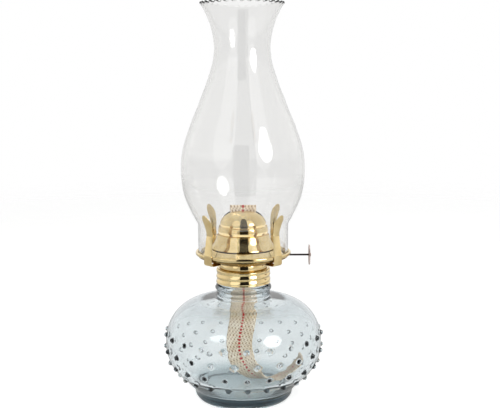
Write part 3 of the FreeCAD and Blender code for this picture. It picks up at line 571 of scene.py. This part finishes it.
wick = {
    "width": 22.2, "thickness": 1.7,
    "route": [(0, 166.2), (0, 140), (0, 118), (0, 100), (0.4, 84), (-1.3, 66), (-3.8, 48), (-3.3, 38),
              (-0.6, 29.5), (5, 20.7), (13, 13.7), (23, 11.4), (32, 13.4), (40.0, 18.8),
              (46.5, 26.5), (50.0, 34.0)],                                      # x, z
    "twist": [0, 0, 0, 0, 0, 0, 0, 0, 8, 28, 52, 74, 88, 90, 90, 90],           # degrees, at each
    "spacing": 0.6, "acrossSteps": 38, "edgeSteps": 7,
    # Weave: real ribs and picks lie about 1 mm apart, and are drawn this coarse to show
    "rib": 2.8, "pick": 3.6, "slant": 0.32, "ribHeight": 0.07,
    "crossingShade": 0.42, "ribShade": 0.14, "middleShade": 0.45,
    "fuzz": 1.1, "worn": 11,
    "gap": "#a8845f", "thread": "#fff2dd", "wornTint": "#dcc6a0",
    # Running stitch down the middle, wobbling by as much as the last number to either side
    "stitchPitch": 3.5, "stitchLength": 2.0, "stitchWidth": 1.8, "red": "#c4161c", "wobble": 0.15,
}


# Woven cotton tape, unbleached, dull and fuzzy: slanting warp ribs that mirror at the middle,
# cream with darker gaps that are painted shade between the threads, and one row of red running
# stitches. The piece gives its own across and along in mm, and each step works on those, on
# numbers or on earlier steps.
def makeCotton(size):
    material, tree = newMaterial("woven_cotton_tape")
    place = addNode(tree, "ShaderNodeTexCoord").outputs["Object"]
    fuzz = addNode(tree, "ShaderNodeTexNoise", inputs={
        "Vector": place, "Scale": noiseScale(size["fuzz"]), "Detail": 4.0, "Roughness": 0.7})
    worn = addNode(tree, "ShaderNodeTexNoise", inputs={
        "Vector": place, "Scale": noiseScale(size["worn"]), "Detail": 2.0})
    values = {"fuzz": fuzz.outputs["Fac"]}
    for name in ("across", "along"):
        values[name] = addNode(tree, "ShaderNodeAttribute", {"attribute_name": name}).outputs["Fac"]
    steps = [
        ("side", "ABSOLUTE", "across"),
        ("slanted", "MULTIPLY_ADD", "along", size["slant"], "side"),
        ("ribTurn", "MULTIPLY", "slanted", fullTurn / size["rib"]),
        ("rib", "SINE", "ribTurn"),
        ("pickTurn", "MULTIPLY", "along", fullTurn / size["pick"]),
        ("pick", "SINE", "pickTurn"),
        ("crossing", "MULTIPLY", "rib", "pick"),
        ("ribbed", "MULTIPLY_ADD", "rib", size["ribShade"], size["middleShade"]),
        ("weave", "MULTIPLY_ADD", "crossing", size["crossingShade"], "ribbed"),
        ("height", "ADD", "fuzz", "weave"),
        ("wobble", "MULTIPLY_ADD", "fuzz", 2 * size["wobble"], -size["wobble"]),
        ("shifted", "ADD", "across", "wobble"),
        ("fromLine", "ABSOLUTE", "shifted"),
        ("inLine", "LESS_THAN", "fromLine", size["stitchWidth"] / 2),
        ("alongPitch", "FLOORED_MODULO", "along", size["stitchPitch"]),
        ("inStitch", "LESS_THAN", "alongPitch", size["stitchLength"]),
        ("red", "MULTIPLY", "inLine", "inStitch"),
    ]
    for name, operation, *terms in steps:
        inputs = {k: values.get(term, term) for k, term in enumerate(terms)}
        values[name] = addNode(tree, "ShaderNodeMath", {"operation": operation}, inputs).outputs[0]
    # Painted shade: the weave's low places, the gaps between threads, take the darker colour
    cream = addNode(tree, "ShaderNodeValToRGB", inputs={"Fac": values["height"]},
                    ramp=[(0.55, colour(size["gap"])), (1.0, colour(size["thread"]))])
    shade = addNode(tree, "ShaderNodeValToRGB", inputs={"Fac": worn.outputs["Fac"]},
                    ramp=[(0.3, colour(size["wornTint"])), (0.6, colour("#ffffff"))])
    # Inputs of a colour mix: 0 is how much, 6 and 7 are the colours, and output 2 is the mix
    base = addNode(tree, "ShaderNodeMix", {"data_type": "RGBA", "blend_type": "MULTIPLY"}, {
        0: 0.5, 6: cream.outputs["Color"], 7: shade.outputs["Color"]})
    dyed = addNode(tree, "ShaderNodeMix", {"data_type": "RGBA"}, {
        0: values["red"], 6: base.outputs[2], 7: colour(size["red"])})
    bump = addNode(tree, "ShaderNodeBump", inputs={
        "Height": values["height"], "Strength": 0.8, "Distance": 0.25 * mm})
    shader = addNode(tree, "ShaderNodeBsdfPrincipled", inputs={
        "Base Color": dyed.outputs[2], "Roughness": 0.9, "Sheen Weight": 0.25,
        "Sheen Roughness": 0.5, "Normal": bump.outputs["Normal"]})
    addNode(tree, "ShaderNodeOutputMaterial", inputs={"Surface": shader.outputs["BSDF"]})
    return material


# A flat rounded section carried along the route: the width direction is the route's own
# normal in the XZ plane, turned about the route by the twist, and the ribs of the weave
# lift the surface by a sine of (across + slant times along).
def makeWick(size):
    knots = np.array([(x, 0, z) for x, z in size["route"]], float)
    line = smoothLine(knots, size["spacing"])
    place = lengthAlong(line)
    twist = np.interp(place, lengthAlong(knots), np.radians(size["twist"]))
    run = np.gradient(line, place, axis=0)
    run /= np.linalg.norm(run, axis=1)[:, None]
    flat = np.stack([-run[:, 2], run[:, 1], run[:, 0]], 1)
    depth = np.cross(run, flat)
    wide = np.cos(twist)[:, None] * flat + np.sin(twist)[:, None] * depth
    face = np.cross(wide, run)
    half, thick = size["width"] / 2 - size["thickness"] / 2, size["thickness"] / 2
    steps = size["acrossSteps"]
    u = np.linspace(-half, half, steps)
    bend = np.linspace(-90, 90, size["edgeSteps"])[1:-1] * math.pi / 180
    edge = thick * np.sin(bend)
    across = np.concatenate([u, half + thick * np.cos(bend), u[::-1], -half - thick * np.cos(bend)])
    deep = np.concatenate([np.full(steps, -thick), edge, np.full(steps, thick), -edge])
    ribs = np.sin((np.abs(across)[None] + size["slant"] * place[:, None]) * fullTurn / size["rib"])
    deep = deep[None] + np.sign(deep)[None] * size["ribHeight"] * ribs
    points = line[:, None] + wide[:, None] * across[None, :, None] + face[:, None] * deep[..., None]
    points = np.concatenate([points.reshape(-1, 3), line[:1], line[-1:]])
    rows, columns = len(line), len(across)
    faces = [gridQuads(rows, columns), *poleFans(rows, columns)]
    acrossAll = np.concatenate([np.tile(across, rows), [0, 0]])
    alongAll = np.concatenate([np.repeat(place, columns), [place[0], place[-1]]])
    piece = meshPiece("wick_tape", points, faces, makeCotton(size), across=acrossAll, along=alongAll)
    return piece, place[-1]


wickPiece, wickLength = makeWick(wick)
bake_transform(wickPiece)
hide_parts("wick", "wick_tail")
print("wick made, length", round(wickLength), "mm")

# Collar: sheet brass rolled into a thread

collar = {
    "wall": 0.7,
    "line": [(22.9, 100.5, 0), (22.4, 101.2, 0.6), (22.3, 109.8, 0.8), (22.8, 111.3, 0.7),
             (22.1, 112.4, 0.6), (20.5, 112.2, 0.5), (20.5, 109.75, 0.5), (13.6, 109.75, 0)],
    "pitch": 4.6, "depth": 0.45, "start": 2.53, "skew": 0.45, "zone": (100.4, 110.4),
    # Spacing of the grid's rows, on the rolled side and on the flat top that lies past it
    "spacing": 0.25, "topSpacing": 1.2, "topFrom": 17, "columns": 240,
}


# The wall's radius gets a cosine of t = 2 pi (height / pitch - angle / turn), faded out at
# both ends of the threaded zone, so inside and outside follow the same helix. Taking
# skew (1 - cos t) off t makes each ridge's upper side longer than its under side.
def makeCollar(size):
    line = roundedLine(size["line"])

    def spacing(at):
        return np.where(at < size["topFrom"], size["spacing"], size["topSpacing"])

    rows = gradedPlaces(lengthAlong(line)[-1], spacing)
    outline = sheetOutline(pointsAt(line, rows), size["wall"])
    columns = size["columns"]
    angle = (np.arange(columns) / columns * fullTurn)[None]
    r, z = outline[:, :1], outline[:, 1:]
    t = (z / size["pitch"] - angle / fullTurn) * fullTurn - size["start"]
    wave = np.cos(t - size["skew"] * (1 - np.cos(t)))
    points = around(r + size["depth"] * fadedZone(z, size["zone"]) * wave, z, angle)
    return meshPiece("screw_collar", points, [gridQuads(len(outline), columns, closeRows=True)], brass)


collarPiece = makeCollar(collar)
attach(collarPiece, "burner")
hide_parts("collar")

# Dome, stamped with steps and a slot for the flame

dome = {
    "wall": 0.6,
    "side": [(26.5, 129.9, 0), (26.1, 130.9, 0.6), (22.9, 136.4, 16.0), (21.6, 141.2, 0.3),
             (20.1, 141.7, 0.25), (20.8, 144.6, 4.0), (20.1, 148.9, 0.3), (18.8, 149.4, 0.25),
             (18.9, 151.6, 1.5), (18.2, 153.2, 0)],
    "brow": [(18.2, 153.2), (17.0, 155.4), (15.0, 157.7), (12.8, 159.3), (10.6, 160.4), (7.0, 161.2),
             (0.0, 161.5)],
    "slot": (32.4, 8.6),
    "slotPowers": (0.35, 0.7),    # below 1 they push the columns towards the slot's ends and sides
    "spacing": 0.35, "columns": 192, "crownRows": 24,
}


# The lower rows are turned. Above them each point runs straight in plan from the round
# side to the slot's edge, a stadium, and its height is the brow's height at its distance
# from the axis, so the crown stays one round shell with a straight-sided slot in it.
def makeDome(size):
    side = roundedLine(size["side"])
    rows = gradedPlaces(lengthAlong(side)[-1], lambda at: np.full(len(at), size["spacing"]))
    side = pointsAt(side, rows)
    columns = size["columns"]
    angle = np.arange(columns) / columns * fullTurn
    lower = around(side[:, :1], side[:, 1:], angle[None])
    # Slot edge: x = straight |cos a|^p + short cos a with its sign, cut off at the slot's
    # length, and y = short |sin a|^q with its sign
    long, short = size["slot"][0] / 2, size["slot"][1] / 2
    x, y = np.cos(angle), np.sin(angle)
    alongPower, acrossPower = size["slotPowers"]
    edgeX = (long - short) * np.sign(x) * np.abs(x) ** alongPower + short * x
    edgeY = short * np.sign(y) * np.abs(y) ** acrossPower
    edge = np.stack([np.clip(edgeX, -long, long), edgeY], 1)
    share = np.linspace(0, 1, size["crownRows"])[1:, None, None]
    plan = lower[-1, :, :2][None] * (1 - share) + edge[None] * share
    brow = smoothLine(size["brow"], 0.3)
    height = np.interp(np.hypot(plan[..., 0], plan[..., 1]), brow[::-1, 0], brow[::-1, 1])
    points = np.concatenate([lower, np.concatenate([plan, height[..., None]], -1)])
    return meshPiece("burner_dome_shell", points, [gridQuads(len(points), columns)[:, ::-1]],
                     paintedShadeBrass, openSheet=True)


# The mesh is the dome's inside, in brass painted near black as shade, and the modifier adds the polished
# outside
domePiece = makeDome(dome)
shell = domePiece.modifiers.new("wall", "SOLIDIFY")
shell.thickness = dome["wall"] * mm
shell.offset = -1
shell.material_offset = 1
domePiece.data.materials.append(brass)
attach(domePiece, "burner")
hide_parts("burner_dome")

# Gallery: deck, chimney seat and a hem rolled outwards

gallery = {
    "wall": 0.6,
    "line": [(24.5, 129.3, 0), (26.5, 129.3, 0.8), (34.6, 124.6, 0.8), (38.6, 124.0, 0.7),
             (38.45, 127.1, 0.8), (40.15, 127.1, 0.8), (40.15, 124.7, 0.8), (38.9, 124.7, 0)],
}
galleryOutline = sheetOutline(roundedLine(gallery["line"]), gallery["wall"])
galleryPiece = turnedPiece("gallery_shell", galleryOutline, brass, columns=240)
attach(galleryPiece, "burner")
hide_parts("gallery")

# Burner cup between collar and air screen

cup = {
    "wall": 0.6,
    "line": [(17.0, 110.5, 0), (19.3, 110.5, 0.8), (19.9, 114.0, 9.0), (19.0, 119.4, 0)],
}
cupPiece = turnedPiece("burner_cup_shell", sheetOutline(roundedLine(cup["line"]), cup["wall"]), brass)
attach(cupPiece, "burner")
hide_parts("burner_cup")

# Prongs: four sprung leaves on a ring

prong = {
    "count": 4, "firstAngle": 45,
    "ring": (20.7, 22.5, 119.1, 119.7),       # inner and outer radius, both levels
    "ringEdge": 0.1, "ringColumns": 120,
    "line": [(21.2, 119.4, 0), (40.7, 119.4, 2.4), (40.75, 127.6, 14.0), (38.75, 146.0, 16.0),
             (40.6, 153.6, 14.0), (45.2, 162.0, 0)],
    "stations": [0, 22, 30, 44, 48, 56, 60, 63.0, 66.0],   # way along the line, and half widths there
    "halfWidths": [4.7, 4.7, 4.5, 3.7, 3.4, 4.6, 4.6, 3.6, 1.2],
    "tipHalfWidth": 0.25,
    "thickness": 0.6,
    "edgeShare": 0.45,                        # the leaf's edges are this thin against its middle
    "crown": 0.35, "crownWidth": 4, "crownZone": (24, 34),    # way along over which it comes in
    "rows": 90, "acrossSteps": 13, "smoothedRows": 7,
}


# Leaf: across is -1 to 1 over the width. A point is the line's place plus across times
# the half width sideways, and crown times across squared along the line's normal, and
# the two faces are half the thickness to either side.
def makeProngs(size):
    line = roundedLine(size["line"], arcSteps=10)
    length = lengthAlong(line)[-1]
    rows = np.linspace(0, length, size["rows"])
    line = pointsAt(line, rows)
    normal = leftNormals(line)
    scale = length / size["stations"][-1]
    half = np.interp(rows, np.array(size["stations"]) * scale, size["halfWidths"])
    # Mean over a few rows, so that the leaf's sides are smooth
    width = size["smoothedRows"]
    half = np.convolve(np.pad(half, width // 2, mode="edge"), np.ones(width) / width, mode="valid")
    half[-1] = size["tipHalfWidth"]
    steps = size["acrossSteps"]
    across = np.linspace(-1, 1, steps)
    across = np.concatenate([across, across[::-1]])
    face = np.concatenate([np.ones(steps), -np.ones(steps)]) * size["thickness"] / 2
    face[[0, steps - 1, steps, 2 * steps - 1]] *= size["edgeShare"]
    low, high = size["crownZone"]
    crown = size["crown"] * np.clip((rows - low) / (high - low), 0, 1) * half / size["crownWidth"]
    shift = face[None] + crown[:, None] * across[None] ** 2
    out = line[:, :1] + normal[:, :1] * shift
    up = line[:, 1:] + normal[:, 1:] * shift
    side = half[:, None] * across[None]
    columns = 2 * steps
    strip = np.arange(steps - 1)
    footQuads = np.stack([strip, strip + 1, columns - 2 - strip, columns - 1 - strip], 1)
    tipQuads = footQuads + (len(rows) - 1) * columns
    leafQuads = np.concatenate([gridQuads(len(rows), columns), footQuads[:, ::-1], tipQuads])
    parts, faces = [], []
    for k in range(size["count"]):
        a = math.radians(size["firstAngle"] + 360 / size["count"] * k)
        x = out * math.cos(a) - side * math.sin(a)
        y = out * math.sin(a) + side * math.cos(a)
        parts.append(np.stack([x, y, up], -1).reshape(-1, 3))
        faces.append(leafQuads + k * out.size)
    inner, outer, low, high = size["ring"]
    corners = [(inner, low), (outer, low), (outer, high), (inner, high)]
    ring = roundedLine([(*corner, size["ringEdge"]) for corner in corners], closed=True, arcSteps=2)
    columns = size["ringColumns"]
    angle = np.arange(columns) / columns * fullTurn
    parts.append(around(ring[:, :1], ring[:, 1:], angle[None]).reshape(-1, 3))
    faces.append(gridQuads(len(ring), columns, closeRows=True)[:, ::-1] + size["count"] * out.size)
    return meshPiece("prong_leaves", np.concatenate(parts), [np.concatenate(faces)], brass)


prongPiece = makeProngs(prong)
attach(prongPiece, "burner")
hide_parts("prong_ring")
print("burner shells made")

# CAD pieces that keep their own shape

# The pieces in bare brass sit under the gallery, and their darker colour is partly painted shade there
finishes = {
    "neck_gasket": cork, "air_screen": bareBrassAndShade, "cup_floor": bareBrassAndShade, "vent_tube": bareBrassAndShade,
    "wick_tube": bareBrassAndShade, "sprocket_bracket": bareBrassAndShade, "shaft_sleeve": bareBrassAndShade,
    "sprocket_left": bareBrassAndShade, "sprocket_right": bareBrassAndShade, "raiser_shaft": steel,
    "thumbwheel": knobBrass, "thumbwheel_rivet": knobBrass,
}
for name, material in finishes.items():
    nodes[name].data.materials.clear()
    nodes[name].data.materials.append(material)

# Stage, lamps and camera

stage = {
    "floorSize": 6000, "floor": "#f2f2f1",
    "floorGlow": 0.5, "floorFade": (700.0, 1700.0),
    "ambient": 0.45,
    # What metal and glass see: strength towards the room behind the camera, and the Y of the
    # way they look between which it rises to the backdrop's white
    "metalRoom": (0.7, -0.6, 0.15), "glassRoom": (0.3, 0.0, 0.8),
    "cameraPlace": (6.3, -768.0, 275.0), "pitch": 8.0, "roll": 0.2,
    "focal": 917.0, "frameWidth": 500.0, "sensorWidth": 36,      # focal length in pixels of that frame
}
softboxes = {        # azimuth, elevation, distance, width, height, power, and whether it is mirrored
    "key_softbox": (46, 23, 1500, 700, 760, 8, True),
    "key_diffuser": (40, 28, 1700, 1200, 1700, 3.5, True),
    "left_diffuser": (-40, 28, 1700, 1200, 1700, 3, True),
    "top_fill": (10, 78, 1600, 900, 900, 2, False),
}
lampsAim = (0, 0, 150)
flag = {"azimuth": 4.5, "distance": 240.0, "width": 165.0, "height": 834.0, "middle": 479.0}


# Floor: pale paint that keeps its shadow. A faint glow lifts it to the backdrop's white for
# the camera and glass, and far out it fades into the backdrop, so no horizon shows.
def makeFloor(size):
    material, tree = newMaterial("pale_matt_paint")
    shader = addNode(tree, "ShaderNodeBsdfPrincipled", inputs={
        "Base Color": colour(size["floor"]), "Roughness": 0.9, "Specular IOR Level": 0.1})
    glow = addNode(tree, "ShaderNodeEmission", inputs={
        "Color": colour("#ffffff"), "Strength": size["floorGlow"]})
    seen = addNode(tree, "ShaderNodeAddShader", inputs={
        0: shader.outputs["BSDF"], 1: glow.outputs["Emission"]})
    path = addNode(tree, "ShaderNodeLightPath").outputs
    either = addNode(tree, "ShaderNodeMath", {"operation": "MAXIMUM"}, {
        0: path["Is Camera Ray"], 1: path["Is Transmission Ray"]})
    near = addNode(tree, "ShaderNodeMixShader", inputs={
        0: either.outputs[0], 1: shader.outputs["BSDF"], 2: seen.outputs["Shader"]})
    place = addNode(tree, "ShaderNodeTexCoord").outputs["Object"]
    away = addNode(tree, "ShaderNodeVectorMath", {"operation": "LENGTH"}, {0: place})
    start, end = size["floorFade"]
    fade = addNode(tree, "ShaderNodeMapRange", {"interpolation_type": "SMOOTHSTEP"}, {
        "Value": away.outputs["Value"], "From Min": start * mm, "From Max": end * mm})
    clear = addNode(tree, "ShaderNodeBsdfTransparent")
    mix = addNode(tree, "ShaderNodeMixShader", inputs={
        0: fade.outputs["Result"], 1: near.outputs["Shader"], 2: clear.outputs["BSDF"]})
    addNode(tree, "ShaderNodeOutputMaterial", inputs={"Surface": mix.outputs["Shader"]})
    half = size["floorSize"] / 2
    corners = np.array([(-half, -half, 0), (half, -half, 0), (half, half, 0), (-half, half, 0)], float)
    return meshPiece("floor", corners, [np.array([[0, 1, 2, 3]])], material, openSheet=True)


# Studio: white for the camera, a soft light for the pieces, and for metal and glass white
# behind the lamp and greyer towards the room behind the camera.
def makeWorld(size):
    world = bpy.data.worlds.new("studio")
    bpy.context.scene.world = world
    world.use_nodes = True
    tree = world.node_tree
    tree.nodes.clear()
    path = addNode(tree, "ShaderNodeLightPath").outputs
    way = addNode(tree, "ShaderNodeTexCoord").outputs["Generated"]
    back = addNode(tree, "ShaderNodeSeparateXYZ", inputs={"Vector": way}).outputs["Y"]
    rooms = []
    for front, dark, white in (size["metalRoom"], size["glassRoom"]):
        room = addNode(tree, "ShaderNodeMapRange", {"interpolation_type": "SMOOTHSTEP"}, {
            "Value": back, "From Min": dark, "From Max": white, "To Min": front, "To Max": 1.0})
        rooms.append(room.outputs["Result"])
    # What brass mirrors out through the chimney has crossed glass three times or more
    crossings = addNode(tree, "ShaderNodeMath", {"operation": "GREATER_THAN"}, {
        0: path["Transmission Depth"], 1: 2.5})
    mirrored = addNode(tree, "ShaderNodeMath", {"operation": "GREATER_THAN"}, {
        0: path["Glossy Depth"], 1: 0.5})
    both = addNode(tree, "ShaderNodeMath", {"operation": "MULTIPLY"}, {
        0: crossings.outputs[0], 1: mirrored.outputs[0]})
    strength = size["ambient"]
    for share, value in ((path["Is Glossy Ray"], rooms[0]), (path["Is Transmission Ray"], rooms[1]),
                         (path["Is Camera Ray"], 1.0), (both.outputs[0], rooms[0])):
        strength = addNode(tree, "ShaderNodeMix", inputs={0: share, 2: strength, 3: value}).outputs[0]
    light = addNode(tree, "ShaderNodeBackground", inputs={
        "Color": colour("#ffffff"), "Strength": strength})
    addNode(tree, "ShaderNodeOutputWorld", inputs={"Surface": light.outputs["Background"]})


# Softbox at an azimuth and elevation as seen from the lamp's middle. Azimuth 0 is towards
# the camera and 90 to the right.
def addSoftbox(name, azimuth, elevation, distance, width, height, power, mirrored):
    light = bpy.data.lights.new(name, "AREA")
    light.shape = "ELLIPSE"
    light.size, light.size_y = width * mm, height * mm
    light.energy = power
    lamp = bpy.data.objects.new(name, light)
    bpy.context.scene.collection.objects.link(lamp)
    a, e = math.radians(azimuth), math.radians(elevation)
    way = np.array([math.sin(a) * math.cos(e), -math.cos(a) * math.cos(e), math.sin(e)])
    lamp.location = (way * distance + lampsAim) * mm
    lamp.rotation_euler = Vector(way).to_track_quat("Z", "Y").to_euler()
    lamp.visible_camera = False
    lamp.visible_glossy = lamp.visible_transmission = mirrored


# Black cloth under the lens, which metal and glass mirror as the dark band down their middle.
# A ray that hasn't been mirrored yet goes through it, so it doesn't show from behind.
def makeFlag(size):
    material, tree = newMaterial("black_cloth_flag")
    shader = addNode(tree, "ShaderNodeBsdfPrincipled", inputs={
        "Base Color": colour("#14110e"), "Roughness": 0.9})
    mirrored = addNode(tree, "ShaderNodeLightPath").outputs["Glossy Depth"]
    clear = addNode(tree, "ShaderNodeBsdfTransparent")
    mix = addNode(tree, "ShaderNodeMixShader", inputs={
        0: mirrored, 1: clear.outputs["BSDF"], 2: shader.outputs["BSDF"]})
    addNode(tree, "ShaderNodeOutputMaterial", inputs={"Surface": mix.outputs["Shader"]})
    a = math.radians(size["azimuth"])
    middle = np.array([math.sin(a) * size["distance"], -math.cos(a) * size["distance"], size["middle"]])
    side = np.array([math.cos(a), math.sin(a), 0]) * size["width"] / 2
    up = np.array([0, 0, size["height"] / 2])
    corners = np.array([middle - side - up, middle + side - up, middle + side + up, middle - side + up])
    piece = meshPiece("flag", corners, [np.array([[0, 1, 2, 3]])], material, openSheet=True)
    for ray in ("camera", "diffuse", "shadow", "volume_scatter"):
        setattr(piece, "visible_" + ray, False)
    return piece


makeFloor(stage)
makeWorld(stage)
for name, values in softboxes.items():
    addSoftbox(name, *values)
makeFlag(flag)

camera = bpy.data.objects.new("camera", bpy.data.cameras.new("camera"))
bpy.context.scene.collection.objects.link(camera)
camera.location = np.array(stage["cameraPlace"]) * mm
camera.rotation_mode = "XYZ"
camera.rotation_euler = (math.radians(90 - stage["pitch"]), math.radians(stage["roll"]), 0)
camera.data.sensor_width = stage["sensorWidth"]
camera.data.lens = stage["focal"] / stage["frameWidth"] * stage["sensorWidth"]
camera.data.clip_start, camera.data.clip_end = 0.01, 20
bpy.context.scene.camera = camera
bpy.context.scene.view_settings.view_transform = "Standard"

bpy.context.view_layer.update()
print("scene ready")
